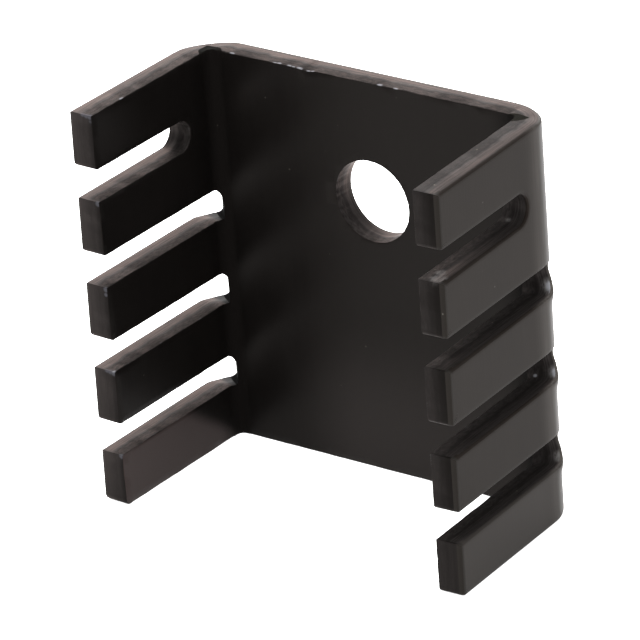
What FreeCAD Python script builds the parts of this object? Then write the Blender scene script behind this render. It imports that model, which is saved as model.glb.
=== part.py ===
import FreeCAD, Part
import math
import os
import Sketcher
from FreeCAD import Vector

# A transistor heat sink: one piece of punched and folded sheet, standing on its end.
# +Z runs along the folds, X runs across the back plate, and the fins point towards -Y.
# The origin lies under the middle of the part, on the surface that it stands on.

NODE = "heat_sink"

# Driving sizes, in millimetres and degrees.
SIZES = {
    "channel_length": 19.05,
    "channel_width": 18.9,
    "channel_depth": 9.6,
    "sheet_thickness": 1.27,
    "inside_bend_radius": 0.65,
    "wing_spread_deg": 2.0,
    "slot_width": 1.57,
    "long_slots": 3,
    "short_slot_depth": 6.8,
    "long_slot_turn_deg": 50,
    "slot_corner_radius": 0.5,
    "fin_corner_radius": 0.3,
    "screw_hole_diameter": 3.96,
    "screw_hole_drop": 5.65,
    "edge_roll_radius": 0.25,
}

# Places that several features share, worked out from the sizes.
PLACES = {
    "half_depth": "channel_depth / 2",
    "outside_bend_radius": "inside_bend_radius + sheet_thickness",
    "bend_axis_x": "channel_width / 2 - outside_bend_radius",
    "bend_axis_y": "channel_depth / 2 - outside_bend_radius",
    "wing_root_y": "bend_axis_y + outside_bend_radius * sin(wing_spread_deg * 1 deg)",
    "slot_pitch": "(channel_length + slot_width) / (long_slots + 2)",
    "short_slot_height": "channel_length - slot_pitch + slot_width / 2",
    "long_slot_height": "short_slot_height - slot_pitch",
    "half_slot": "slot_width / 2",
    "slot_turn_in_bend": "(long_slot_turn_deg - wing_spread_deg) * 1 deg",
    "slot_corner_room": "0.95 * min(half_slot; inside_bend_radius * sin(slot_turn_in_bend))",
    "slot_corner": "min(slot_corner_radius; slot_corner_room)",
    "cutter_reach": "2 * outside_bend_radius + sheet_thickness",
    "cutter_mouth": "half_depth + sheet_thickness",
    "screw_hole_height": "channel_length - screw_hole_drop",
}

START, END, CENTRE = 1, 2, 3
ORIGIN = (-1, 1)
QUARTER = math.pi / 2
TOUCH = 1e-3

doc = FreeCAD.newDocument("heat_sink_model")
sheet = doc.addObject("Spreadsheet::Sheet", "Sizes")
for row, (name, value) in enumerate(SIZES.items(), start=1):
    sheet.set(f"A{row}", name)
    sheet.set(f"B{row}", str(value))
    sheet.setAlias(f"B{row}", name)
for row, (name, formula) in enumerate(PLACES.items(), start=len(SIZES) + 2):
    sheet.set(f"A{row}", name)
    sheet.set(f"B{row}", "=" + formula)
    sheet.setAlias(f"B{row}", name)
doc.recompute()

body = doc.addObject("PartDesign::Body", "Channel")
body.Label = NODE


def size(name):
    """The value that the sheet holds under an alias."""
    return float(getattr(sheet, name))


def new_sketch(name, role, height=None):
    """A sketch on one of the body's own planes, lifted off it by a formula."""
    sketch = body.newObject("Sketcher::SketchObject", name)
    sketch.AttachmentSupport = [(origin_part(role), "")]
    sketch.MapMode = "FlatFace"
    if height:
        sketch.setExpression("AttachmentOffset.Base.z", height)
    return sketch


def origin_part(role):
    """One of the body's own planes or axes."""
    return next(item for item in body.Origin.OriginFeatures if item.Role == role)


def bind(sketch, kind, where, name, value, formula):
    """A named dimension of a sketch that follows the sheet."""
    index = sketch.addConstraint(Sketcher.Constraint(kind, *where, value))
    sketch.renameConstraint(index, name)
    sketch.setExpression("Constraints." + name, formula)


def relate(sketch, kind, *groups):
    """The same kind of relation between each group of sketch elements."""
    for group in groups:
        sketch.addConstraint(Sketcher.Constraint(kind, *group))


def polygon(sketch, points):
    """A closed outline of straight lines."""
    count = len(points)
    for place in range(count):
        sketch.addGeometry(Part.LineSegment(points[place], points[(place + 1) % count]), False)
    for place in range(count):
        relate(sketch, "Coincident", (place, END, (place + 1) % count, START))


def radial(turn, radius):
    """A point beside the right-hand bend's axis, seen from above."""
    return Vector(
        size("bend_axis_x") + radius * math.cos(turn),
        size("bend_axis_y") + radius * math.sin(turn),
        0,
    )


def across(point):
    """The same point on the other side of the part."""
    return Vector(-point.x, point.y, point.z)


def section_sketch():
    """The folded sheet seen from above: back plate, two bends and two wings."""
    outside = size("outside_bend_radius")
    inside = size("inside_bend_radius")
    back = size("half_depth")
    spread = math.radians(size("wing_spread_deg"))
    along = Vector(math.sin(spread), -math.cos(spread), 0)
    wing_length = (size("bend_axis_y") + inside * math.sin(spread) + back) / math.cos(spread)

    def arc(radius, left):
        circle = Part.Circle(across(radial(0, 0)) if left else radial(0, 0), Vector(0, 0, 1), radius)
        return Part.ArcOfCircle(circle, *((QUARTER, math.pi - spread) if left else (spread, QUARTER)))

    back_outside = radial(QUARTER, outside)
    back_inside = radial(QUARTER, inside)
    root_outside = radial(spread, outside)
    root_inside = radial(spread, inside)
    tip_outside = root_outside + along * wing_length
    tip_inside = root_inside + along * wing_length

    sketch = new_sketch("Section", "XY_Plane")
    (
        plate_out, bend_out, wing_out, tip, wing_in, bend_in,
        plate_in, far_bend_in, far_wing_in, far_tip, far_wing_out, far_bend_out,
    ) = range(12)
    sketch.addGeometry([
        Part.LineSegment(across(back_outside), back_outside),
        arc(outside, False),
        Part.LineSegment(root_outside, tip_outside),
        Part.LineSegment(tip_outside, tip_inside),
        Part.LineSegment(tip_inside, root_inside),
        arc(inside, False),
        Part.LineSegment(back_inside, across(back_inside)),
        arc(inside, True),
        Part.LineSegment(across(root_inside), across(tip_inside)),
        Part.LineSegment(across(tip_inside), across(tip_outside)),
        Part.LineSegment(across(tip_outside), across(root_outside)),
        arc(outside, True),
    ], False)
    relate(
        sketch, "Tangent",
        (plate_out, END, bend_out, END), (bend_out, START, wing_out, START),
        (wing_in, END, bend_in, START), (bend_in, END, plate_in, START),
        (plate_in, END, far_bend_in, START), (far_bend_in, END, far_wing_in, START),
        (far_wing_out, END, far_bend_out, END), (far_bend_out, START, plate_out, START),
    )
    relate(
        sketch, "Coincident",
        (wing_out, END, tip, START), (tip, END, wing_in, START),
        (far_wing_in, END, far_tip, START), (far_tip, END, far_wing_out, START),
        (bend_out, CENTRE, bend_in, CENTRE), (far_bend_out, CENTRE, far_bend_in, CENTRE),
    )
    relate(sketch, "Horizontal", (plate_out,), (plate_in,))
    relate(sketch, "Perpendicular", (wing_out, tip), (far_wing_out, far_tip))
    relate(sketch, "Parallel", (wing_out, wing_in), (far_wing_out, far_wing_in))
    bind(sketch, "DistanceY", (*ORIGIN, plate_out, START), "back_face", back, "Sizes.half_depth")
    for side, out, inn, wing, end, inner_corner, left in (
        ("right", bend_out, bend_in, wing_out, tip, END, False),
        ("left", far_bend_out, far_bend_in, far_wing_out, far_tip, START, True),
    ):
        across_x = (out, CENTRE, *ORIGIN) if left else (*ORIGIN, out, CENTRE)
        angle = QUARTER - spread if left else spread - QUARTER
        turn = "90 deg - Sizes.wing_spread_deg * 1 deg"
        bind(sketch, "DistanceX", across_x, "axis_" + side, radial(0, 0).x, "Sizes.bend_axis_x")
        bind(sketch, "Radius", (out,), "outside_" + side, outside, "Sizes.outside_bend_radius")
        if not left:
            bind(sketch, "Radius", (inn,), "inside_" + side, inside, "Sizes.inside_bend_radius")
        bind(sketch, "Angle", (wing,), "spread_" + side, angle, turn if left else f"-({turn})")
        bind(sketch, "DistanceY", (end, inner_corner, *ORIGIN), "reach_" + side, back, "Sizes.half_depth")
    return sketch


folded = body.newObject("PartDesign::Pad", "FoldedSheet")
folded.Profile = section_sketch()
folded.setExpression("Length", "Sizes.channel_length")
doc.recompute()


def short_slot_sketch():
    """The top slot, seen along X: open at the fin tips, with a full round end."""
    radius = size("half_slot")
    mouth = -size("cutter_mouth")
    centre = Vector(size("short_slot_depth") - size("half_depth") - radius, size("short_slot_height"), 0)
    rise = Vector(0, radius, 0)
    start = Vector(mouth, centre.y, 0)
    sketch = new_sketch("ShortSlot", "YZ_Plane")
    circle = Part.Circle(centre, Vector(0, 0, 1), radius)
    sketch.addGeometry([
        Part.LineSegment(start - rise, centre - rise),
        Part.ArcOfCircle(circle, -QUARTER, QUARTER),
        Part.LineSegment(centre + rise, start + rise),
        Part.LineSegment(start + rise, start - rise),
    ], False)
    relate(sketch, "Tangent", (0, END, 1, START), (1, END, 2, START))
    relate(sketch, "Coincident", (2, END, 3, START), (3, END, 0, START))
    relate(sketch, "Horizontal", (0,), (2,))
    relate(sketch, "Vertical", (3,))
    bind(sketch, "Radius", (1,), "half_width", radius, "Sizes.half_slot")
    bind(sketch, "DistanceX", (0, START, *ORIGIN), "mouth", -mouth, "Sizes.cutter_mouth")
    bind(sketch, "DistanceX", (0, START, 1, CENTRE), "depth", centre.x - mouth,
         "Sizes.short_slot_depth - Sizes.half_slot + Sizes.sheet_thickness")
    bind(sketch, "DistanceY", (*ORIGIN, 1, CENTRE), "height", centre.y, "Sizes.short_slot_height")
    return sketch


short_slots = body.newObject("PartDesign::Pocket", "ShortSlots")
short_slots.Profile = short_slot_sketch()
short_slots.Type = "ThroughAll"
short_slots.SideType = "Symmetric"
doc.recompute()


def long_slot_sketch():
    """A long slot's straight run, seen along X: from past the fin tips to where the bend starts."""
    half = size("half_slot")
    height = size("long_slot_height")
    root = size("bend_axis_y")
    mouth = -size("cutter_mouth")
    sketch = new_sketch("LongSlot", "YZ_Plane")
    polygon(sketch, [
        Vector(mouth, height - half, 0),
        Vector(root, height - half, 0),
        Vector(root, height + half, 0),
        Vector(mouth, height + half, 0),
    ])
    relate(sketch, "Horizontal", (0,), (2,))
    relate(sketch, "Vertical", (1,), (3,))
    bind(sketch, "DistanceX", (0, START, *ORIGIN), "mouth", -mouth, "Sizes.cutter_mouth")
    bind(sketch, "DistanceX", (*ORIGIN, 0, END), "root", root, "Sizes.bend_axis_y")
    bind(sketch, "DistanceY", (*ORIGIN, 0, START), "lower", height - half,
         "Sizes.long_slot_height - Sizes.half_slot")
    bind(sketch, "DistanceY", (1, START, 1, END), "width", 2 * half, "Sizes.slot_width")
    return sketch


def slot_turn_sketch():
    """The part of a long slot inside the bend: the slot's section, beside the bend's axis."""
    half = size("half_slot")
    height = size("long_slot_height")
    axis = size("bend_axis_x")
    reach = size("cutter_reach")
    sketch = new_sketch("SlotTurn", "XZ_Plane", "-Sizes.bend_axis_y")
    polygon(sketch, [
        Vector(axis, height - half, 0),
        Vector(axis + reach, height - half, 0),
        Vector(axis + reach, height + half, 0),
        Vector(axis, height + half, 0),
    ])
    relate(sketch, "Horizontal", (0,), (2,))
    relate(sketch, "Vertical", (1,), (3,))
    bind(sketch, "DistanceX", (*ORIGIN, 0, START), "axis", axis, "Sizes.bend_axis_x")
    bind(sketch, "DistanceX", (0, START, 0, END), "reach", reach, "Sizes.cutter_reach")
    bind(sketch, "DistanceY", (*ORIGIN, 0, START), "lower", height - half,
         "Sizes.long_slot_height - Sizes.half_slot")
    bind(sketch, "DistanceY", (1, START, 1, END), "width", 2 * half, "Sizes.slot_width")
    return sketch


long_slot = body.newObject("PartDesign::Pocket", "LongSlot")
long_slot.Profile = long_slot_sketch()
long_slot.Type = "ThroughAll"
long_slot.Reversed = True
doc.recompute()
turn_sketch = slot_turn_sketch()
slot_turn = body.newObject("PartDesign::Groove", "SlotTurn")
slot_turn.Profile = turn_sketch
slot_turn.ReferenceAxis = (turn_sketch, ["Edge4"])
slot_turn.Reversed = True
slot_turn.setExpression("Angle", "Sizes.long_slot_turn_deg * 1 deg")
doc.recompute()

long_slots = body.newObject("PartDesign::MultiTransform", "LongSlots")
long_slots.Originals = [long_slot, slot_turn]
down = body.newObject("PartDesign::LinearPattern", "DownTheWing")
down.Direction = (origin_part("Z_Axis"), [""])
down.Reversed = True
down.setExpression("Length", "Sizes.slot_pitch * (Sizes.long_slots - 1)")
down.setExpression("Occurrences", "Sizes.long_slots")
other_wing = body.newObject("PartDesign::Mirrored", "OtherWing")
other_wing.MirrorPlane = (origin_part("YZ_Plane"), [""])
long_slots.Transformations = [down, other_wing]
body.Tip = long_slots
doc.recompute()

hole_sketch = new_sketch("HoleCircle", "XZ_Plane")
hole_centre = Vector(0, size("screw_hole_height"), 0)
hole_sketch.addGeometry(Part.Circle(hole_centre, Vector(0, 0, 1), size("screw_hole_diameter") / 2), False)
relate(hole_sketch, "PointOnObject", (0, CENTRE, -2))
bind(hole_sketch, "DistanceY", (*ORIGIN, 0, CENTRE), "height", hole_centre.y, "Sizes.screw_hole_height")
bind(hole_sketch, "Diameter", (0,), "diameter", size("screw_hole_diameter"), "Sizes.screw_hole_diameter")
screw_hole = body.newObject("PartDesign::Pocket", "ScrewHole")
screw_hole.Profile = hole_sketch
screw_hole.Type = "ThroughAll"
screw_hole.SideType = "Symmetric"
doc.recompute()


def round_edges(name, base, radius, wanted):
    """A fillet on every edge of a feature that passes a test."""
    picked = [f"Edge{place}" for place, edge in enumerate(base.Shape.Edges, start=1) if wanted(edge)]
    fillet = body.newObject("PartDesign::Fillet", name)
    fillet.Base = (base, picked)
    fillet.setExpression("Radius", radius)
    doc.recompute()
    return fillet


def at_fin_tip(edge):
    """Whether an edge lies in the end of a fin."""
    return edge.BoundBox.YMax < size("sheet_thickness") / 2 - size("half_depth")


def is_fin_corner(edge):
    """Whether an edge runs straight through the sheet at the lower corner of a fin's end."""
    level = edge.BoundBox.ZLength < TOUCH
    wide = edge.BoundBox.XLength > size("sheet_thickness") / 2
    lower = (edge.BoundBox.ZMin + TOUCH) % size("slot_pitch") < size("slot_pitch") / 4
    return level and wide and lower and at_fin_tip(edge)


def skin_depth(point):
    """How deep a point lies under the outside of the folded sheet."""
    spread = math.radians(size("wing_spread_deg"))
    side = abs(point.x) - size("bend_axis_x")
    back = point.y - size("bend_axis_y")
    outside = size("outside_bend_radius")
    if side < 0:
        return outside - back
    if back > side * math.tan(spread):
        return outside - math.hypot(side, back)
    return outside - side * math.cos(spread) - back * math.sin(spread)


def is_slot_corner(edge):
    """Whether an edge runs straight through the sheet at the end of a long slot."""
    level = edge.BoundBox.ZLength < TOUCH and edge.Curve.TypeId == "Part::GeomLine"
    middle = edge.BoundBox.Center
    in_bend = abs(middle.x) > size("bend_axis_x") and middle.y > size("bend_axis_y")
    between_ends = TOUCH < middle.z < size("channel_length") - TOUCH
    in_sheet = TOUCH < skin_depth(middle) < size("sheet_thickness") - TOUCH
    return level and in_bend and between_ends and in_sheet


def is_outside_rim(edge):
    """Whether the punch rolled an edge: the outside of the sheet ends there, and it isn't the hole.

    The upright edges where a bend meets a flat are only seams in the outside.
    """
    first, last = edge.ParameterRange
    points = [edge.valueAt(first + (last - first) * share) for share in (0, 0.25, 0.5, 0.75, 1)]
    on_skin = all(abs(skin_depth(point)) < TOUCH for point in points)
    upright = edge.BoundBox.XLength < TOUCH and edge.BoundBox.YLength < TOUCH
    root = edge.BoundBox.YMin < size("wing_root_y") + TOUCH
    back = edge.BoundBox.YMax > size("half_depth") - TOUCH
    seam = upright and (root or back) and not at_fin_tip(edge)
    return on_skin and not seam and not edge.Closed


slot_corners = round_edges("SlotCorners", screw_hole, "Sizes.slot_corner", is_slot_corner)
fin_corners = round_edges("FinCorners", slot_corners, "Sizes.fin_corner_radius", is_fin_corner)
rolled_edges = round_edges("RolledEdges", fin_corners, "Sizes.edge_roll_radius", is_outside_rim)
body.Tip = rolled_edges
doc.recompute()

# Every feature has to have worked, and each one but the slots' corners takes metal away.
for item in doc.Objects:
    if "Invalid" in item.State or "Error" in item.State:
        raise ValueError(f"{item.Name} did not compute")
steps = [
    folded, short_slots, long_slot, slot_turn, long_slots,
    screw_hole, slot_corners, fin_corners, rolled_edges,
]
for before, after in zip(steps, steps[1:]):
    if after.Shape.isNull() or not after.Shape.isValid():
        raise ValueError(f"{after.Name} has no valid shape")
    if after is not slot_corners and after.Shape.Volume >= before.Shape.Volume:
        raise ValueError(f"{after.Name} cuts nothing")
if len(body.Shape.Solids) != 1:
    raise ValueError("the sheet is not in one piece")

os.makedirs("parts", exist_ok=True)
body.Shape.exportStep(f"parts/{NODE}.step")
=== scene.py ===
import math

import bmesh
import bpy
from mathutils import Matrix, Vector


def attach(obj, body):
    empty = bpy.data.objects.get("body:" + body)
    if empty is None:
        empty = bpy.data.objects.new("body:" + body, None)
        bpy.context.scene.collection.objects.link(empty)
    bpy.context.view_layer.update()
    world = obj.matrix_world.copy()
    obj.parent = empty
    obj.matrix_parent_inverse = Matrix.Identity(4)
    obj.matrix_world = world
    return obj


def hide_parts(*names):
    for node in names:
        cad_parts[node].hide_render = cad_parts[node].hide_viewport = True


# A black anodised transistor heat sink, punched flat out of sheet and then folded.
# Lengths are in metres. +Z is up, the back plate is at +Y and the fins point towards -Y.
# Where the wings differ, a value is given for each side: 1 is the right wing and -1 the left one.

MM = 0.001

# The folded part.
HEIGHT = 19.05 * MM
WIDTH = 18.9 * MM
DEPTH = 9.6 * MM
THICKNESS = 1.27 * MM
INSIDE_RADIUS = 0.65 * MM
OUTSIDE_RADIUS = INSIDE_RADIUS + THICKNESS
SPREAD = {1: math.radians(1.5), -1: math.radians(1.95)}

# The slots and the screw hole.
SLOT_COUNT = 4
SLOT_PITCH = 4.124 * MM
SLOT_WIDTH = 1.5 * MM
SHORT_SLOT_DEPTH = {1: 6.8 * MM, -1: 6.55 * MM}
LONG_SLOT_TURN = {1: math.radians(48), -1: math.radians(49)}
ROUND_END = (0.49 * SLOT_WIDTH, 0.49 * SLOT_WIDTH)
LONG_SLOT_CORNERS = {1: ROUND_END, -1: (0.74 * MM, 0.2 * MM)}  # upper and lower
HOLE_RADIUS = 1.94 * MM
HOLE_X = 0.14 * MM  # the punch sat a little to the right
HOLE_HEIGHT = 13.3 * MM

# The rims, and what punching and folding did to the sheet.
ROLL = 0.22 * MM  # the rims on the outside
INNER_RIM = 0.04 * MM
FIN_CORNER = 0.23 * MM
LOWEST_LEFT_CORNER = 0.34 * MM
BURR = 0.018 * MM  # how far the ragged rims on the inside stand proud of the tips
SWELL = 0.02 * MM  # how far the squeezed inside of a fold stands proud of the sheet's ends
DIP = {1: 0.08 * MM, -1: 0.12 * MM}  # how far the outside of a fold is drawn in at its ends
NICK_X = -2.9 * MM  # a small nick in the back plate's upper edge

# The flat blank. It lies in the plane of the back plate, and each bend takes up the length
# that the sheet's neutral layer has there.
BACK = DEPTH / 2
FRONT = BACK - THICKNESS
NEUTRAL_RADIUS = INSIDE_RADIUS + 0.4 * THICKNESS
BEND_ANGLE = {side: math.radians(90) - SPREAD[side] for side in (1, -1)}
BEND_LENGTH = {side: NEUTRAL_RADIUS * BEND_ANGLE[side] for side in (1, -1)}
BEND_X = WIDTH / 2 - OUTSIDE_RADIUS
BEND_Y = DEPTH / 2 - OUTSIDE_RADIUS
WING_LENGTH = {
    side: (BEND_Y + INSIDE_RADIUS * math.sin(SPREAD[side]) + DEPTH / 2) / math.cos(SPREAD[side])
    for side in (1, -1)
}
BLANK_HALF = BEND_X + BEND_LENGTH[1] + WING_LENGTH[1] - BURR
TOUCH = 0.002 * MM  # places closer than this are the same

# The wedge that each fold squeezes at the sheet's ends, painted dark as shade.
WEDGE_TOP = {1: DEPTH / 2 - 0.42 * THICKNESS, -1: DEPTH / 2 - 0.3 * THICKNESS}  # the y of its point
WEDGE_HALF = {1: 0.8 * MM, -1: 0.98 * MM}  # half its width on the inside
WEDGE_PLACE = {1: 0.58, -1: 0.51}  # where its middle lies in the fold's length

# The grid that lets the blank bend and swell, in steps.
FOLD_STEPS = 22
WING_STEPS = 16
PLATE_STEPS = 14
HEIGHT_STEPS = 48

# Marks on the punched walls, as x, y, z on the flat sheet and a radius, in millimetres.
# Chips on the rims, and painted glints where the right long slots end.
CHIPS_AND_GLINTS = (
    (-14.85, 3.55, 19.05, 0.12), (-6.95, 3.55, 19.05, 0.12), (-4.62, 3.55, 19.05, 0.1),
    (-4.4, 3.59, 19.05, 0.11), (-3.85, 3.57, 19.05, 0.11), (-3.62, 3.55, 19.05, 0.09),
    (-3.3, 3.57, 19.03, 0.13), (-2.85, 3.55, 19.05, 0.1), (-2.62, 3.57, 19.05, 0.1),
    (0.96, 3.6, 19.05, 0.13), (1.81, 3.57, 19.05, 0.11), (-17.0, 3.6, 6.72, 0.13),
    (8.77, 3.85, 6.78, 0.1), (8.63, 4.62, 11.02, 0.22), (8.8, 4.7, 10.9, 0.12),
    (8.67, 4.67, 6.87, 0.2),
)
# Rubs, and painted glints on the lower walls where the right long slots end.
RUBS_AND_GLINTS = (
    (8.6, 4.6, 11.05, 0.4), (8.85, 4.7, 10.9, 0.25), (8.66, 4.65, 6.9, 0.36),
    (8.64, 4.6, 2.75, 0.3), (16.6, 4.3, 14.93, 0.5), (16.1, 4.1, 14.93, 0.35),
    (10.55, 4.0, 14.93, 0.2),
)
# Painted highlights on the upper inner corners of the left fins' ends.
TIP_CORNER_HIGHLIGHTS = (
    (-17.0, 3.6, 19.0, 0.2), (-17.0, 3.8, 19.0, 0.17), (-17.0, 4.0, 19.02, 0.15),
    (-16.9, 3.6, 18.75, 0.15), (-17.0, 3.6, 14.85, 0.18), (-17.0, 3.6, 10.7, 0.17),
    (-17.0, 3.62, 10.45, 0.12), (-17.0, 3.6, 6.62, 0.2), (-17.0, 3.8, 6.65, 0.18),
    (-17.0, 3.98, 6.65, 0.14), (-17.0, 3.6, 2.5, 0.17),
)

# The finish's colours, in linear red, green and blue. A pair is the darkest and the lightest.
OUTSIDE_BLACKS = ((0.0046, 0.0037, 0.0032, 1), (0.01, 0.0083, 0.0073, 1))
OUTSIDE_WORN = (0.038, 0.0345, 0.0318, 1)
# Painted reflection of the white floor, lightening the lowest right fin's outside.
OUTSIDE_LOWEST_FIN_REFLECTION = (0.017, 0.0155, 0.0145, 1)
OUTSIDE_TIP_RIM = (0.0092, 0.0084, 0.0077, 1)
OUTSIDE_DUST = (0.1, 0.095, 0.085, 1)
INSIDE_BLACKS = ((0.0018, 0.0015, 0.0014, 1), (0.0038, 0.0033, 0.003, 1))
# Painted reflection of the floor, in brown on the lowest left fin's inside.
INSIDE_FLOOR_REFLECTION_BROWN = (0.0168, 0.0122, 0.0116, 1)
# Painted reflection of the floor, in grey on the lower back plate's inside.
INSIDE_FLOOR_REFLECTION_GREY = (0.0095, 0.0082, 0.0078, 1)
# Painted shade in the crease inside the folds.
INSIDE_FOLD_SHADE = (0.0004, 0.0003, 0.0003, 1)
INSIDE_DUST = (0.05, 0.047, 0.04, 1)
SHEARED_BLACK = (0.0032, 0.0028, 0.0026, 1)
SHEARED_WORN = (0.0205, 0.0184, 0.0177, 1)
# Painted shade on the outer part of the right fins' ends.
SHEARED_TIP_SHADE = (0.0008, 0.0008, 0.0006, 1)
# Painted highlight on the rounded upper inner corners of the left fins' ends.
SHEARED_TIP_CORNER_HIGHLIGHT = (0.027, 0.027, 0.031, 1)
# Rubs, and painted glints where the right long slots end in the folds.
SHEARED_RUBBED_AND_GLINT = (0.048, 0.046, 0.045, 1)
# Chips, and painted glints where the right long slots end in the folds.
SHEARED_CHIPPED_AND_GLINT = (0.088, 0.089, 0.096, 1)
SHEARED_DUST = (0.1, 0.095, 0.075, 1)
# Painted shade on the wedges that the folds squeeze at the sheet's ends.
SQUEEZED_SHADE_BLACKS = ((0.003, 0.0028, 0.002, 1), (0.007, 0.0064, 0.0048, 1))
# Painted shade at the ends of the left long slots.
SLOT_END_SHADE_BLACK = (0.0006, 0.0005, 0.0005, 1)

# The sheet's material slots.
OUTSIDE, SHEARED, INSIDE, SQUEEZED_SHADE = range(4)

# The camera, fitted to the photograph.
CAMERA_PLACE = Vector((139.5917, -185.2135, 121.0499)) * MM
CAMERA_AZIMUTH = math.radians(37.1087)
CAMERA_ELEVATION = math.radians(25.7702)
CAMERA_ROLL = math.radians(-4.3701)
FOCAL_PIXELS = 5895
IMAGE_PIXELS = 640
SENSOR_WIDTH = 36


# ---------------------------------------------------------------- modelling by hand


def only(piece):
    """Select one piece and nothing else."""
    bpy.ops.object.select_all(action="DESELECT")
    piece.select_set(True)
    bpy.context.view_layer.objects.active = piece


def edit(piece, mode):
    """Go into edit mode on one piece, with nothing selected."""
    only(piece)
    bpy.ops.object.mode_set(mode="EDIT")
    bpy.ops.mesh.select_mode(type=mode)
    bpy.ops.mesh.select_all(action="DESELECT")
    return bmesh.from_edit_mesh(piece.data)


def leave():
    bpy.ops.object.mode_set(mode="OBJECT")


def pick(parts, wanted):
    """Select the points or edges in edit mode that pass a test, and count them."""
    found = 0
    for part in parts:
        if wanted(part):
            part.select_set(True)
            found += 1
    bmesh.update_edit_mesh(bpy.context.edit_object.data)
    return found


def settle(piece):
    """Put a piece's place, turn and scale into its mesh."""
    only(piece)
    bpy.ops.object.transform_apply(location=True, rotation=True, scale=True)
    return piece


def bevel_edges(piece, wanted, width, segments, profile):
    """Round the edges that pass a test."""
    mesh = edit(piece, "EDGE")
    pick(mesh.edges, wanted)
    bpy.ops.mesh.bevel(
        offset=width, offset_type="OFFSET", segments=segments, profile=profile, affect="EDGES",
    )
    leave()


def finish_modifier(piece, kind, name, **values):
    """Add a modifier, set it up and apply it."""
    only(piece)
    modifier = piece.modifiers.new(name, kind)
    for key, value in values.items():
        setattr(modifier, key, value)
    bpy.ops.object.modifier_apply(modifier=name)


# ---------------------------------------------------------------- the punched blank


def cut_blank():
    """The flat sheet, as it comes off the coil."""
    bpy.ops.mesh.primitive_cube_add(
        size=1,
        location=(0, (BACK + FRONT) / 2, HEIGHT / 2),
        scale=(2 * BLANK_HALF, THICKNESS, HEIGHT - 2 * SWELL),
    )
    blank = bpy.context.object
    blank.name = "heat_sink_sheet"
    return settle(blank)


def slot_height(row):
    """The height of a slot's middle line."""
    return HEIGHT - (row + 1) * SLOT_PITCH + SLOT_WIDTH / 2


def long_slot_end(side):
    """How far from the middle of the blank the long slots end."""
    return BEND_X + NEUTRAL_RADIUS * (math.radians(90) - LONG_SLOT_TURN[side])


def slot_punch(side, height, depth, corners):
    """A punch for one slot, with its upper and lower corner at the slot's end rounded."""
    end, tail = BLANK_HALF - depth, BLANK_HALF + THICKNESS
    bpy.ops.mesh.primitive_cube_add(
        size=1, location=(side * (end + tail) / 2, (BACK + FRONT) / 2, height),
        scale=(tail - end, 3 * THICKNESS, SLOT_WIDTH),
    )
    punch = settle(bpy.context.object)
    for sign, radius in zip((1, -1), corners):
        def at_corner(edge):
            return all(
                abs(v.co.x - side * end) < TOUCH
                and abs(v.co.z - height - sign * SLOT_WIDTH / 2) < TOUCH
                for v in edge.verts
            )
        bevel_edges(punch, at_corner, radius, segments=12, profile=0.5)
    return punch


def hole_punch():
    """A punch for the screw hole."""
    bpy.ops.mesh.primitive_cylinder_add(
        vertices=96, radius=HOLE_RADIUS, depth=3 * THICKNESS,
        location=(HOLE_X, (BACK + FRONT) / 2, HOLE_HEIGHT), rotation=(math.radians(90), 0, 0),
    )
    return settle(bpy.context.object)


def punch_blank(blank):
    """Punch the slots of both wings and the screw hole in one stroke."""
    punches = [hole_punch()]
    for side in (-1, 1):
        for row in range(SLOT_COUNT):
            if row == 0:
                depth, corners = SHORT_SLOT_DEPTH[side], ROUND_END
            else:
                depth, corners = BLANK_HALF - long_slot_end(side), LONG_SLOT_CORNERS[side]
            punches.append(slot_punch(side, slot_height(row), depth, corners))
    bpy.ops.object.select_all(action="DESELECT")
    for punch in punches:
        punch.select_set(True)
    bpy.context.view_layer.objects.active = punches[0]
    bpy.ops.object.join()
    tool = bpy.context.object
    finish_modifier(blank, "BOOLEAN", "Punch", operation="DIFFERENCE", solver="EXACT", object=tool)
    only(tool)
    bpy.ops.object.delete()
    edit(blank, "VERT")
    bpy.ops.mesh.select_all(action="SELECT")
    bpy.ops.mesh.remove_doubles(threshold=0.0005 * MM)
    bpy.ops.mesh.select_all(action="SELECT")
    bpy.ops.mesh.dissolve_limited(angle_limit=math.radians(1))
    leave()


def is_fin_corner(edge):
    """An edge straight through the sheet at the lower corner of a fin's end. The fins' lower
    edges lie close to whole slot pitches."""
    a, b = edge.verts[0].co, edge.verts[1].co
    through = abs(a.x - b.x) + abs(a.z - b.z) < TOUCH
    at_tip = abs(a.x) > BLANK_HALF - TOUCH
    lower = (a.z + SLOT_PITCH / 16) % SLOT_PITCH < SLOT_PITCH / 8
    return through and at_tip and lower


def is_lowest_left(edge):
    return edge.verts[0].co.x < 0 and edge.verts[0].co.z < SLOT_PITCH / 2


def is_rim(edge, skin):
    """An edge where one of the sheet's two skins ends."""
    on_skin = all(abs(v.co.y - skin) < TOUCH for v in edge.verts)
    wall = any(abs(face.normal.y) < 0.3 for face in edge.link_faces)
    return on_skin and wall


def round_rims(blank):
    """Round the fins' lower corners and roll the rims, softly on the outside."""
    bevel_edges(blank, lambda e: is_fin_corner(e) and not is_lowest_left(e),
                FIN_CORNER, segments=5, profile=0.6)
    bevel_edges(blank, lambda e: is_fin_corner(e) and is_lowest_left(e),
                LOWEST_LEFT_CORNER, segments=5, profile=0.6)
    bevel_edges(blank, lambda e: is_rim(e, BACK), ROLL, segments=5, profile=0.72)
    bevel_edges(blank, lambda e: is_rim(e, FRONT), INNER_RIM, segments=2, profile=0.5)


# ---------------------------------------------------------------- the grid for folding


def slice_along(blank, axis, places):
    """Cut the mesh across one axis at each place, so that it can bend and swell there."""
    edit(blank, "FACE")
    normal = Vector((0, 0, 0))
    normal[axis] = 1
    for place in places:
        bpy.ops.mesh.select_all(action="SELECT")
        bpy.ops.mesh.bisect(plane_co=tuple(normal * place), plane_no=tuple(normal), use_fill=False,
                            clear_inner=False, clear_outer=False)
    leave()


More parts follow.
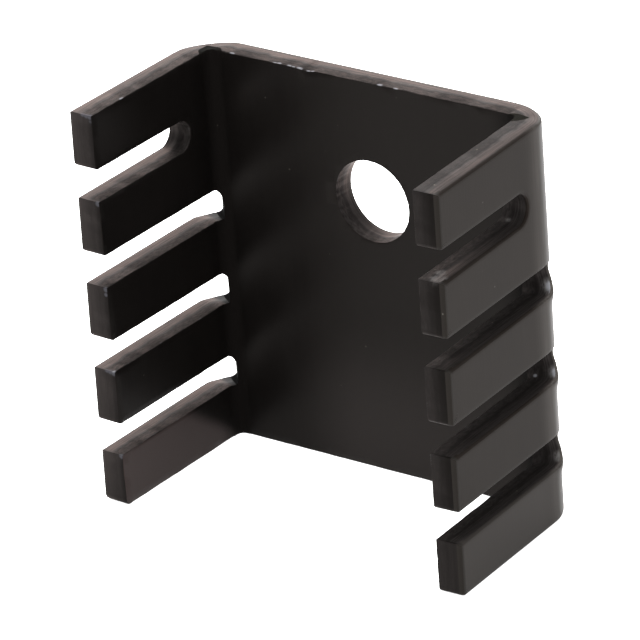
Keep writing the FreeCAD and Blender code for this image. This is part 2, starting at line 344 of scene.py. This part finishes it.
def wedge_middle(side):
    return side * (BEND_X + BEND_LENGTH[side] * WEDGE_PLACE[side])


def slice_wedge(blank, side, lean):
    """Cut one side line of the wedge that a fold squeezes at the sheet's ends."""
    edit(blank, "FACE")
    bpy.ops.mesh.select_all(action="SELECT")
    across = Vector((lean * (WEDGE_TOP[side] - FRONT), WEDGE_HALF[side], 0))
    bpy.ops.mesh.bisect(
        plane_co=(wedge_middle(side), WEDGE_TOP[side], 0), plane_no=tuple(across.normalized()),
        use_fill=False, clear_inner=False, clear_outer=False, threshold=0.01 * MM,
    )
    leave()


def slice_blank(blank):
    """Lay a grid over the blank, fine where the folds will be, and the wedges' side lines."""
    across = []
    for side in (-1, 1):
        for step in range(FOLD_STEPS + 1):
            across.append(side * (BEND_X + BEND_LENGTH[side] * step / FOLD_STEPS))
        for step in range(1, WING_STEPS):
            along_wing = WING_LENGTH[side] * step / WING_STEPS
            across.append(side * (BEND_X + BEND_LENGTH[side] + along_wing))
        for step in range(PLATE_STEPS):
            across.append(side * (BEND_X * (step + 0.5) / PLATE_STEPS))
    across += [NICK_X + step * 0.1 * MM for step in (-2, -1, 0, 1, 2)]
    slice_along(blank, 0, sorted(across))
    slice_along(blank, 2, [HEIGHT * step / HEIGHT_STEPS for step in range(1, HEIGHT_STEPS)])
    for side in (-1, 1):
        for lean in (-1, 1):
            slice_wedge(blank, side, lean)


# ---------------------------------------------------------------- strain and burrs


def nudge(blank, wanted, move, reach):
    """Push the chosen points, and fade the push out over the points round them."""
    mesh = edit(blank, "VERT")
    if pick(mesh.verts, lambda v: wanted(v.co)):
        bpy.ops.transform.translate(
            value=move, use_proportional_edit=True, proportional_edit_falloff="SMOOTH",
            proportional_size=reach,
        )
    leave()


def strain_ends(blank):
    """At the sheet's ends the outside of a fold is drawn in and the inside squeezed out."""
    for side in (1, -1):
        middle = side * (BEND_X + BEND_LENGTH[side] / 2)
        for end, inwards in ((0, 1), (HEIGHT, -1)):
            nudge(
                blank,
                lambda p: abs(p.x - middle) < 0.2 * MM and p.y > FRONT + 0.6 * THICKNESS
                and abs(p.z - end) < 0.5 * MM,
                move=(0, 0, inwards * DIP[side]), reach=0.95 * MM,
            )
            nudge(
                blank,
                lambda p: abs(p.x - middle) < 0.12 * MM and p.y < FRONT + 0.1 * MM
                and abs(p.z - end) < 0.2 * MM,
                move=(0, 0.1 * MM, -inwards * SWELL), reach=0.5 * MM,
            )


def strain_slots(blank):
    """At the long slots' ends the outside stands proud on the right, and the lower lips sag on
    the left."""
    right = long_slot_end(1) + 0.2 * MM
    left = -long_slot_end(-1) - 0.3 * MM
    for row in range(1, SLOT_COUNT):
        low = slot_height(row) - SLOT_WIDTH / 2
        nudge(
            blank,
            lambda p: abs(p.x - right) < 0.12 * MM and p.y > FRONT + 0.6 * THICKNESS
            and abs(p.z - low - 0.15 * MM) < 0.3 * MM,
            move=(0, 0.09 * MM, -0.05 * MM), reach=0.6 * MM,
        )
        nudge(
            blank,
            lambda p: abs(p.x - left) < 0.2 * MM and p.y > FRONT + 0.5 * THICKNESS
            and abs(p.z - low) < 0.1 * MM,
            move=(0, 0, -0.12 * MM), reach=0.6 * MM,
        )


def nick_edge(blank):
    nudge(
        blank,
        lambda p: abs(p.x - NICK_X) < 0.15 * MM and p.z > HEIGHT - 0.15 * MM
        and p.y < FRONT + 0.3 * MM,
        move=(0, 0.05 * MM, -0.09 * MM), reach=0.35 * MM,
    )


def roughen_burrs(blank):
    """Leave the rims on the inside a little ragged, as the punch tore them."""
    mesh = edit(blank, "VERT")
    pick(mesh.verts, lambda v: v.co.y < FRONT + 0.05 * MM and any(
        abs(face.normal.y) < 0.9 for face in v.link_faces))
    bpy.ops.transform.vertex_random(offset=BURR, uniform=0.0, normal=0.0, seed=7)
    leave()


# ---------------------------------------------------------------- folding


def note_flat_places(blank):
    """Keep where each point lay in the flat sheet. The finish is worked out from it."""
    places = blank.data.attributes.new("flat_place", "FLOAT_VECTOR", "POINT")
    values = [number for vertex in blank.data.vertices for number in vertex.co]
    places.data.foreach_set("vector", values)


def fold_wing(blank, side):
    """Fold one wing forwards round its bend's axis, keeping the neutral layer's length."""
    anvil = bpy.data.objects.new("anvil", None)
    bpy.context.scene.collection.objects.link(anvil)
    anvil.location = (side * BEND_X, BEND_Y + NEUTRAL_RADIUS, 0)
    anvil.rotation_euler = (0, 0, 0 if side > 0 else math.radians(180))
    bpy.context.view_layer.update()
    along = [(anvil.matrix_world.inverted() @ v.co).x for v in blank.data.vertices]
    low, high = min(along), max(along)
    finish_modifier(
        blank, "SIMPLE_DEFORM", "Fold", deform_method="BEND", deform_axis="Z", origin=anvil,
        angle=-side * BEND_ANGLE[side],
        limits=(-low / (high - low), (BEND_LENGTH[side] - low) / (high - low)),
    )
    bpy.data.objects.remove(anvil)


def make_sheet():
    """The whole heat sink, made in the order of the workshop."""
    blank = cut_blank()
    punch_blank(blank)
    round_rims(blank)
    slice_blank(blank)
    note_flat_places(blank)
    strain_ends(blank)
    strain_slots(blank)
    nick_edge(blank)
    roughen_burrs(blank)
    for side in (1, -1):
        fold_wing(blank, side)
    only(blank)
    bpy.ops.object.shade_smooth_by_angle(angle=math.radians(30))
    return blank


# ---------------------------------------------------------------- laying out nodes


class Nodes:
    """Short ways to lay out the nodes of one material or one group."""

    def __init__(self, tree):
        self.tree = tree

    def add(self, kind, **values):
        node = self.tree.nodes.new(kind)
        for key, value in values.items():
            setattr(node, key, value)
        return node

    def join(self, source, target):
        self.tree.links.new(source, target)

    def feed(self, socket, value):
        """Give a socket a link or a plain value."""
        if isinstance(value, bpy.types.NodeSocket):
            self.join(value, socket)
        else:
            socket.default_value = value

    def math(self, operation, a, b=0.0):
        node = self.add("ShaderNodeMath", operation=operation)
        self.feed(node.inputs[0], a)
        self.feed(node.inputs[1], b)
        return node.outputs[0]

    def product(self, first, *others):
        for other in others:
            first = self.math("MULTIPLY", first, other)
        return first

    def rest(self, share):
        """What a share leaves of one."""
        return self.math("SUBTRACT", 1.0, share)

    def fade(self, value, mask, strength):
        """A value, made weaker where the mask is up."""
        return self.product(value, self.rest(self.product(mask, strength)))

    def vector(self, operation, place, constant):
        node = self.add("ShaderNodeVectorMath", operation=operation)
        self.join(place, node.inputs[0])
        node.inputs[1].default_value = constant
        return node.outputs["Vector"]

    def length(self, place):
        node = self.add("ShaderNodeVectorMath", operation="LENGTH")
        self.join(place, node.inputs[0])
        return node.outputs["Value"]

    def split(self, place):
        """The x, y and z of a place."""
        node = self.add("ShaderNodeSeparateXYZ")
        self.join(place, node.inputs[0])
        return node.outputs["X"], node.outputs["Y"], node.outputs["Z"]

    def ramp(self, value, low, high, to_low=0.0, to_high=1.0):
        """A soft step: to_low below low, to_high above high."""
        node = self.add("ShaderNodeMapRange", interpolation_type="SMOOTHSTEP")
        for name, number in (("Value", value), ("From Min", low), ("From Max", high),
                             ("To Min", to_low), ("To Max", to_high)):
            self.feed(node.inputs[name], number)
        return node.outputs["Result"]

    def noise(self, place, scale, detail, rough):
        """Noise over a place whose axes are stretched by a scale, given per millimetre."""
        node = self.add("ShaderNodeTexNoise")
        stretched = self.vector("MULTIPLY", place, tuple(number / MM for number in scale))
        self.join(stretched, node.inputs["Vector"])
        node.inputs["Scale"].default_value = 1
        node.inputs["Detail"].default_value = detail
        node.inputs["Roughness"].default_value = rough
        return node.outputs["Fac"]

    def swing(self, place, scale, detail, rough):
        """Noise that swings round nought."""
        return self.math("SUBTRACT", self.noise(place, scale, detail, rough), 0.5)

    def blend(self, mask, first, second):
        node = self.add("ShaderNodeMix", data_type="RGBA")
        self.feed(node.inputs[0], mask)
        self.feed(node.inputs[6], first)
        self.feed(node.inputs[7], second)
        return node.outputs[2]


def new_group(name, inputs, outputs):
    """An empty shader node group with named sockets."""
    tree = bpy.data.node_groups.new(name, "ShaderNodeTree")
    for label, kind in inputs:
        tree.interface.new_socket(label, in_out="INPUT", socket_type=kind)
    for label, kind in outputs:
        tree.interface.new_socket(label, in_out="OUTPUT", socket_type=kind)
    nodes = Nodes(tree)
    return nodes, nodes.add("NodeGroupInput"), nodes.add("NodeGroupOutput")


def use_group(nodes, tree, **values):
    node = nodes.add("ShaderNodeGroup")
    node.node_tree = tree
    for name, value in values.items():
        nodes.feed(node.inputs[name], value)
    return node


# ---------------------------------------------------------------- the two groups


def sheet_grain_group():
    """Fine streaks along the folds, left by rolling and by the folding tool, and dust specks."""
    nodes, source, sink = new_group(
        "sheet_grain",
        [("Place", "NodeSocketVector"), ("Streaks", "NodeSocketFloat"),
         ("Specks", "NodeSocketFloat")],
        [("Tone", "NodeSocketFloat"), ("Height", "NodeSocketFloat"), ("Dust", "NodeSocketFloat")],
    )
    place = source.outputs["Place"]
    fine = nodes.swing(place, (11.0, 11.0, 0.28), 3.0, 0.6)
    broad = nodes.swing(place, (1.6, 1.6, 0.1), 2.0, 0.5)
    streak = nodes.math("ADD", nodes.product(fine, 1.4), broad)
    blotch = nodes.swing(place, (0.35, 0.35, 0.3), 3.0, 0.55)
    streaked = nodes.product(streak, source.outputs["Streaks"])
    tone = nodes.math("ADD", streaked, nodes.product(blotch, 0.7))
    nodes.join(tone, sink.inputs["Tone"])
    grit = nodes.noise(place, (14.0, 14.0, 14.0), 2.0, 0.6)
    nodes.join(nodes.math("ADD", streak, nodes.product(grit, 0.8)), sink.inputs["Height"])
    cells = nodes.add("ShaderNodeTexVoronoi")
    nodes.join(nodes.vector("MULTIPLY", place, (1.1 / MM,) * 3), cells.inputs["Vector"])
    cells.inputs["Scale"].default_value = 1
    near = nodes.ramp(cells.outputs["Distance"], 0.03, 0.055, 1.0, 0.0)
    thin = nodes.ramp(nodes.noise(place, (0.9, 0.9, 0.9), 1.0, 0.5), 0.52, 0.6)
    nodes.join(nodes.product(near, thin, source.outputs["Specks"]), sink.inputs["Dust"])
    return nodes.tree


def sheet_depth_group():
    """How deep in the sheet's thickness a point lies, from 0 on the outside to 1 on the inside,
    and how far it lies inside a fold, from 0 to 1."""
    nodes, source, sink = new_group(
        "sheet_depth", [("Place", "NodeSocketVector")],
        [("Depth", "NodeSocketFloat"), ("Fold", "NodeSocketFloat")],
    )
    across, through, _ = nodes.split(source.outputs["Place"])
    depth = nodes.math("DIVIDE", nodes.math("SUBTRACT", BACK, through), THICKNESS)
    nodes.join(depth, sink.inputs["Depth"])
    middle = BEND_X + BEND_LENGTH[1] / 2
    off = nodes.math("ABSOLUTE", nodes.math("SUBTRACT", nodes.math("ABSOLUTE", across), middle))
    fold = nodes.ramp(off, 0.1 * BEND_LENGTH[1], 1.1 * BEND_LENGTH[1], 1.0, 0.0)
    nodes.join(fold, sink.inputs["Fold"])
    return nodes.tree


# ---------------------------------------------------------------- finish


def new_material(name):
    material = bpy.data.materials.new(name)
    material.use_nodes = True
    nodes = Nodes(material.node_tree)
    shader = material.node_tree.nodes["Principled BSDF"]
    place = nodes.add("ShaderNodeAttribute", attribute_name="flat_place").outputs["Vector"]
    return material, nodes, shader, place


def coat(nodes, shader, color, roughness, level, tint):
    """Give a shader its colour and roughness, and how strongly and in which tint it mirrors."""
    nodes.feed(shader.inputs["Base Color"], color)
    nodes.feed(shader.inputs["Roughness"], roughness)
    shader.inputs["Specular IOR Level"].default_value = level
    shader.inputs["Specular Tint"].default_value = tint


def bumped(nodes, shader, height, distance, strength):
    bump = nodes.add("ShaderNodeBump")
    nodes.join(height, bump.inputs["Height"])
    bump.inputs["Distance"].default_value = distance
    bump.inputs["Strength"].default_value = strength
    nodes.join(bump.outputs["Normal"], shader.inputs["Normal"])


def spots(nodes, place, marks, length=1.0):
    """A mask of soft marks, each given as x, y, z on the flat sheet and a radius, in millimetres.
    They are round, or drawn out along the sheet's width to length times their radius."""
    mask = 0.0
    for x, y, z, radius in marks:
        offset = nodes.vector("SUBTRACT", place, (x * MM, y * MM, z * MM))
        away = nodes.length(nodes.vector("MULTIPLY", offset, (1 / length, 1, 1)))
        mark = nodes.ramp(away, 0.4 * radius * MM, radius * MM, 1.0, 0.0)
        mask = nodes.math("MAXIMUM", mask, mark)
    return mask


def outside_material(grain, depth):
    """The sheet's outside: satin black, worn lighter and streaked where the folding tool drew
    it, and painted greyer on the lowest right fin as a reflection of the white floor."""
    material, nodes, shader, place = new_material("black_anodised_outside")
    across, _, up = nodes.split(place)
    fold = use_group(nodes, depth, Place=place).outputs["Fold"]
    streaks = nodes.math("ADD", 0.35, nodes.product(fold, 0.9))
    marks = use_group(nodes, grain, Place=place, Specks=0.45, Streaks=streaks)
    tone = marks.outputs["Tone"]
    color = nodes.blend(nodes.ramp(tone, -0.6, 0.9), *OUTSIDE_BLACKS)
    worn = nodes.product(fold, nodes.ramp(tone, -0.5, 0.6, 0.35, 1.0))
    color = nodes.blend(worn, color, OUTSIDE_WORN)
    # Painted reflection: the lowest right fin is lighter, as if it mirrored the white floor below
    # it.
    lowest = nodes.product(nodes.ramp(across, BEND_X + MM, BEND_X + 3.0 * MM),
                           nodes.ramp(up, 2.2 * MM, 3.2 * MM, 1.0, 0.0))
    color = nodes.blend(nodes.product(lowest, 0.8), color, OUTSIDE_LOWEST_FIN_REFLECTION)
    tip = nodes.ramp(across, BLANK_HALF - 0.26 * MM, BLANK_HALF - 0.16 * MM)
    color = nodes.blend(tip, color, OUTSIDE_TIP_RIM)
    color = nodes.blend(marks.outputs["Dust"], color, OUTSIDE_DUST)
    roughness = nodes.math("ADD", nodes.product(tone, 0.14), 0.34)
    coat(nodes, shader, color, roughness, level=0.025, tint=(1, 0.75, 0.58, 1))
    bumped(nodes, shader, marks.outputs["Height"], 0.004 * MM, 0.35)
    return material


def inside_material(grain, depth):
    """The sheet's inside: a deeper black, dull and painted near black as shade where the folds
    squeeze it, with painted reflections of the floor in brown on the lowest left fin and in grey on
    the lower back plate."""
    material, nodes, shader, place = new_material("black_anodised_inside")
    across, _, up = nodes.split(place)
    fold = use_group(nodes, depth, Place=place).outputs["Fold"]
    marks = use_group(nodes, grain, Place=place, Specks=0.4, Streaks=0.35)
    tone = marks.outputs["Tone"]
    color = nodes.blend(nodes.ramp(tone, -0.6, 0.9), *INSIDE_BLACKS)
    # The painted brown reflection of the floor ends in a slanting line that rises from the fold's
    # foot towards the tip.
    reflection_slant = nodes.math("ADD", across, nodes.product(up, 1.36))
    reflection_wing = nodes.ramp(reflection_slant, -BEND_X - 1.9 * MM, -BEND_X - 0.6 * MM, 1.0, 0.0)
    lowest = nodes.product(reflection_wing, nodes.ramp(up, 3.2 * MM, 3.6 * MM, 1.0, 0.0))
    color = nodes.blend(lowest, color, INSIDE_FLOOR_REFLECTION_BROWN)
    # Painted reflection of the floor: the lower back plate's inside is greyer.
    lower = nodes.product(nodes.ramp(up, 1.5 * MM, 8.0 * MM, 1.0, 0.0),
                          nodes.ramp(across, -5.5 * MM, -1.0 * MM))
    plate = nodes.ramp(nodes.math("ABSOLUTE", across), BEND_X, BEND_X + MM, 1.0, 0.0)
    color = nodes.blend(nodes.product(lower, plate), color, INSIDE_FLOOR_REFLECTION_GREY)
    # Painted shade: the inside of the folds is nearly black, as the crease is shaded.
    color = nodes.blend(nodes.product(fold, 0.85), color, INSIDE_FOLD_SHADE)
    color = nodes.blend(marks.outputs["Dust"], color, INSIDE_DUST)
    roughness = nodes.math("ADD", nodes.product(tone, 0.14), 0.33)
    roughness = nodes.math("ADD", roughness, nodes.product(fold, 0.4))
    coat(nodes, shader, color, roughness, level=0.045, tint=(1, 0.87, 0.79, 1))
    bumped(nodes, shader, marks.outputs["Height"], 0.004 * MM, 0.3)
    return material


def sheared_material(grain, depth):
    """The punched walls: a burnished band on the outside and a torn one on the inside, worn
    through in fine streaks, with bright chips on the rims, painted shade at the fins' ends and at
    the left long slots' ends, and painted highlights and glints."""
    material, nodes, shader, place = new_material("black_anodised_sheared")
    across, _, up = nodes.split(place)
    out = nodes.math("ABSOLUTE", across)
    deep = use_group(nodes, depth, Place=place).outputs["Depth"]
    dust = use_group(nodes, grain, Place=place, Streaks=0.3, Specks=0.5).outputs["Dust"]

    # The two bands, and the line between them that isn't worn.
    ragged = nodes.product(nodes.swing(place, (1.6, 1.6, 1.6), 2.0, 0.5), 0.3)
    edge = nodes.math("ADD", deep, ragged)
    torn = nodes.ramp(edge, 0.5, 0.62)
    line = nodes.product(nodes.ramp(edge, 0.42, 0.52), nodes.ramp(edge, 0.56, 0.68, 1.0, 0.0))
    lengthwise = nodes.noise(place, (0.45, 15.0, 0.45), 4.0, 0.7)
    pits = nodes.noise(place, (3.5, 9.0, 3.5), 4.0, 0.7)
    streaks = nodes.ramp(lengthwise, 0.3, 0.72, 0.1, 1.0)
    flecks = nodes.ramp(pits, 0.3, 0.75, 0.05, 0.8)
    worn = nodes.math("ADD", nodes.product(streaks, nodes.rest(torn)), nodes.product(flecks, torn))
    worn = nodes.fade(worn, line, 0.7)

    # The fins' ends are worn evenly, less on the right than on the left.
    tip = nodes.ramp(out, BLANK_HALF - 0.15 * MM, BLANK_HALF - 0.05 * MM)
    even = nodes.product(tip, nodes.ramp(across, -MM, MM, 0.24, 0.1))
    worn = nodes.math("ADD", nodes.fade(worn, tip, 0.8), even)

    # Painted shade, left unworn: the left fins' ends near the inside, and the ends of the left long
    # slots.
    left_deep = nodes.product(deep, nodes.math("SIGN", across))
    shade = nodes.product(tip, nodes.ramp(left_deep, -0.76, -0.95, 0.0, 0.8))
    slot_end_shade = nodes.product(
        nodes.ramp(out, long_slot_end(-1) + 0.4 * MM, long_slot_end(-1) + 0.6 * MM, 1.0, 0.0),
        nodes.ramp(across, -BEND_X, -BEND_X + MM, 1.0, 0.0),
        nodes.ramp(up, HEIGHT - 1.5 * MM, HEIGHT - MM, 1.0, 0.0),
    )
    worn = nodes.product(worn, nodes.rest(nodes.math("MAXIMUM", shade, slot_end_shade)))

    # The right wing's top is less worn, and the right fins' ends get painted shade near the
    # outside.
    right = nodes.ramp(across, BEND_X, BEND_X + 1.5 * MM)
    top = nodes.product(right, nodes.ramp(up, HEIGHT - 0.3 * MM, HEIGHT - 0.1 * MM))
    worn = nodes.fade(worn, top, nodes.ramp(torn, 0.0, 1.0, 0.32, 0.66))
    color = nodes.blend(worn, SHEARED_BLACK, SHEARED_WORN)
    tip_shade = nodes.product(tip, right, nodes.ramp(deep, 0.3, 0.85, 0.9, 0.0),
                              nodes.ramp(up, 2.2 * MM, 3.2 * MM, 0.3, 1.0))
    color = nodes.blend(tip_shade, color, SHEARED_TIP_SHADE)

    # Painted highlights on the left fins' upper tip corners, rubs with painted glints where the
    # right long slots end, chips along the inside rims, single chips with painted glints, and dust.
    color = nodes.blend(spots(nodes, place, TIP_CORNER_HIGHLIGHTS), color, SHEARED_TIP_CORNER_HIGHLIGHT)
    rubs_and_glints = nodes.product(spots(nodes, place, RUBS_AND_GLINTS), nodes.ramp(pits, 0.3, 0.6))
    color = nodes.blend(rubs_and_glints, color, SHEARED_RUBBED_AND_GLINT)
    patch = nodes.ramp(nodes.noise(place, (1.3, 1.3, 1.3), 2.0, 0.6), 0.62, 0.7)
    rim = nodes.product(nodes.ramp(edge, 0.9, 1.0), nodes.rest(tip))
    upper = nodes.ramp(up, HEIGHT - 0.6 * MM, HEIGHT - 0.3 * MM, 0.25, 1.0)
    single_chips_and_glints = nodes.product(spots(nodes, place, CHIPS_AND_GLINTS, 1.5), nodes.ramp(pits, 0.3, 0.45))
    chips_and_glints = nodes.math("MAXIMUM", nodes.product(patch, rim, upper), single_chips_and_glints)
    color = nodes.blend(chips_and_glints, color, SHEARED_CHIPPED_AND_GLINT)
    color = nodes.blend(dust, color, SHEARED_DUST)

    nodes.join(nodes.product(worn, 0.7), shader.inputs["Metallic"])
    roughness = nodes.ramp(torn, 0.0, 1.0, 0.42, 0.55)
    coat(nodes, shader, color, roughness, level=0.031, tint=(1, 0.82, 0.77, 1))
    rise = nodes.math("ADD", nodes.product(pits, torn), nodes.product(lengthwise, 0.7))
    bumped(nodes, shader, rise, 0.015 * MM, 0.5)
    return material


def squeezed_shade_material(grain):
    """Painted shade: the wedges at the ends of the folds, dull and painted dark, and the ends of
    the left long slots, painted black.
    """
    material, nodes, shader, place = new_material("black_anodised_squeezed_shade")
    across, _, up = nodes.split(place)
    tone = use_group(nodes, grain, Place=place, Streaks=0.3, Specks=0.0).outputs["Tone"]
    wedge = nodes.blend(nodes.ramp(tone, -0.6, 0.9), *SQUEEZED_SHADE_BLACKS)
    upper = nodes.product(nodes.ramp(up, HEIGHT - 1.5 * MM, HEIGHT - MM),
                          nodes.ramp(across, -MM, MM, 0.35, 1.0))
    color = nodes.blend(upper, SLOT_END_SHADE_BLACK, wedge)
    coat(nodes, shader, color, roughness=0.75, level=0.01, tint=(1, 1, 1, 1))
    return material


def in_wedge(point):
    side = 1 if point.x > 0 else -1
    off = abs(point.x - wedge_middle(side))
    top = WEDGE_TOP[side]
    return point.y < top and off / WEDGE_HALF[side] < (top - point.y) / (top - FRONT)


def finish_of(corners):
    """The material slot of a face, from where its corners lie on the flat sheet."""
    middle = sum(corners, Vector()) / len(corners)
    deep = (BACK - middle.y) / THICKNESS
    # The outside's finish reaches round the rolled rims, and further at the right fins' ends.
    rolled = 0.2 if middle.x > BLANK_HALF - 0.3 * MM else 0.12
    if deep < rolled:
        return OUTSIDE
    if deep >= 0.985:
        return INSIDE
    lowest, highest = min(abs(c.z) for c in corners), max(c.z for c in corners)
    # The wedges and the left long slots' ends take the material that paints shade.
    if lowest < MM / 5 or highest > HEIGHT - MM / 5:
        return SQUEEZED_SHADE if in_wedge(middle) else SHEARED
    slot_end_shade = -long_slot_end(-1) - 0.22 * MM < middle.x < -BEND_X
    return SQUEEZED_SHADE if slot_end_shade else SHEARED


def dress(sheet):
    """Give each face of the sheet its finish."""
    grain, depth = sheet_grain_group(), sheet_depth_group()
    sheet.data.materials.clear()
    for make in (outside_material, sheared_material, inside_material):
        sheet.data.materials.append(make(grain, depth))
    sheet.data.materials.append(squeezed_shade_material(grain))
    places = sheet.data.attributes["flat_place"].data
    for face in sheet.data.polygons:
        face.material_index = finish_of([places[index].vector for index in face.vertices])


# ---------------------------------------------------------------- studio


def camera():
    """The photograph's view, from the front, the right and above."""
    back = Vector((
        math.sin(CAMERA_AZIMUTH) * math.cos(CAMERA_ELEVATION),
        -math.cos(CAMERA_AZIMUTH) * math.cos(CAMERA_ELEVATION),
        math.sin(CAMERA_ELEVATION),
    ))
    level = Vector((math.cos(CAMERA_AZIMUTH), math.sin(CAMERA_AZIMUTH), 0))
    upright = back.cross(level)
    right = math.cos(CAMERA_ROLL) * level + math.sin(CAMERA_ROLL) * upright
    up = math.cos(CAMERA_ROLL) * upright - math.sin(CAMERA_ROLL) * level
    data = bpy.data.cameras.new("camera")
    data.sensor_width = SENSOR_WIDTH
    data.lens = FOCAL_PIXELS * SENSOR_WIDTH / IMAGE_PIXELS
    data.clip_start = 0.01
    data.clip_end = 10
    eye = bpy.data.objects.new("camera", data)
    bpy.context.scene.collection.objects.link(eye)
    turn = Matrix((right, up, back)).transposed()
    eye.matrix_world = Matrix.Translation(CAMERA_PLACE) @ turn.to_4x4()
    bpy.context.scene.camera = eye


def soft_light(name, place, size, power):
    """A large lamp that looks at the part's middle."""
    data = bpy.data.lights.new(name, "AREA")
    data.shape = "RECTANGLE"
    data.size, data.size_y = size
    data.energy = power
    lamp = bpy.data.objects.new(name, data)
    bpy.context.scene.collection.objects.link(lamp)
    lamp.location = place
    away = Vector(place) - Vector((0, 0, HEIGHT / 2))
    lamp.rotation_euler = away.to_track_quat("Z", "Y").to_euler()


def pale_floor():
    """A white floor that glows a little, so that it stays white close to the part."""
    bpy.ops.object.select_all(action="DESELECT")
    bpy.ops.mesh.primitive_plane_add(size=1.2, location=(0, 0, 0))
    floor = bpy.context.object
    floor.name = "floor"
    pale = bpy.data.materials.new("pale_floor")
    pale.use_nodes = True
    shader = pale.node_tree.nodes["Principled BSDF"]
    shader.inputs["Base Color"].default_value = (0.76, 0.76, 0.76, 1)
    shader.inputs["Roughness"].default_value = 0.6
    shader.inputs["Emission Color"].default_value = (1, 1, 1, 1)
    shader.inputs["Emission Strength"].default_value = 0.8
    floor.data.materials.append(pale)


def studio():
    """The floor, an even white surround and two large lamps."""
    pale_floor()
    world = bpy.data.worlds.new("studio")
    world.use_nodes = True
    world.node_tree.nodes["Background"].inputs["Color"].default_value = (1, 1, 1, 1)
    world.node_tree.nodes["Background"].inputs["Strength"].default_value = 1.45
    bpy.context.scene.world = world
    bpy.context.scene.view_settings.view_transform = "Standard"
    soft_light("top_light", place=(0.0, 0.0, 0.5), size=(0.6, 0.6), power=8.6)
    soft_light("back_light", place=(-0.3, 0.4, 0.26), size=(0.5, 0.4), power=2.7)


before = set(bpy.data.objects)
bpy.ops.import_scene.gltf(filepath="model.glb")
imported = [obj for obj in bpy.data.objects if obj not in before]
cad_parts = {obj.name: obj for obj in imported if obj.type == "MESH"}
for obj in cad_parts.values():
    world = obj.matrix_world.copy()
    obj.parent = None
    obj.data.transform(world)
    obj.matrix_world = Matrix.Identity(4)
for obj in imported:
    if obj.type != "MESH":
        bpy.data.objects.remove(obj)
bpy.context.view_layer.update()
sheet = make_sheet()
dress(sheet)
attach(sheet, "root")
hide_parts("heat_sink")
studio()
camera()
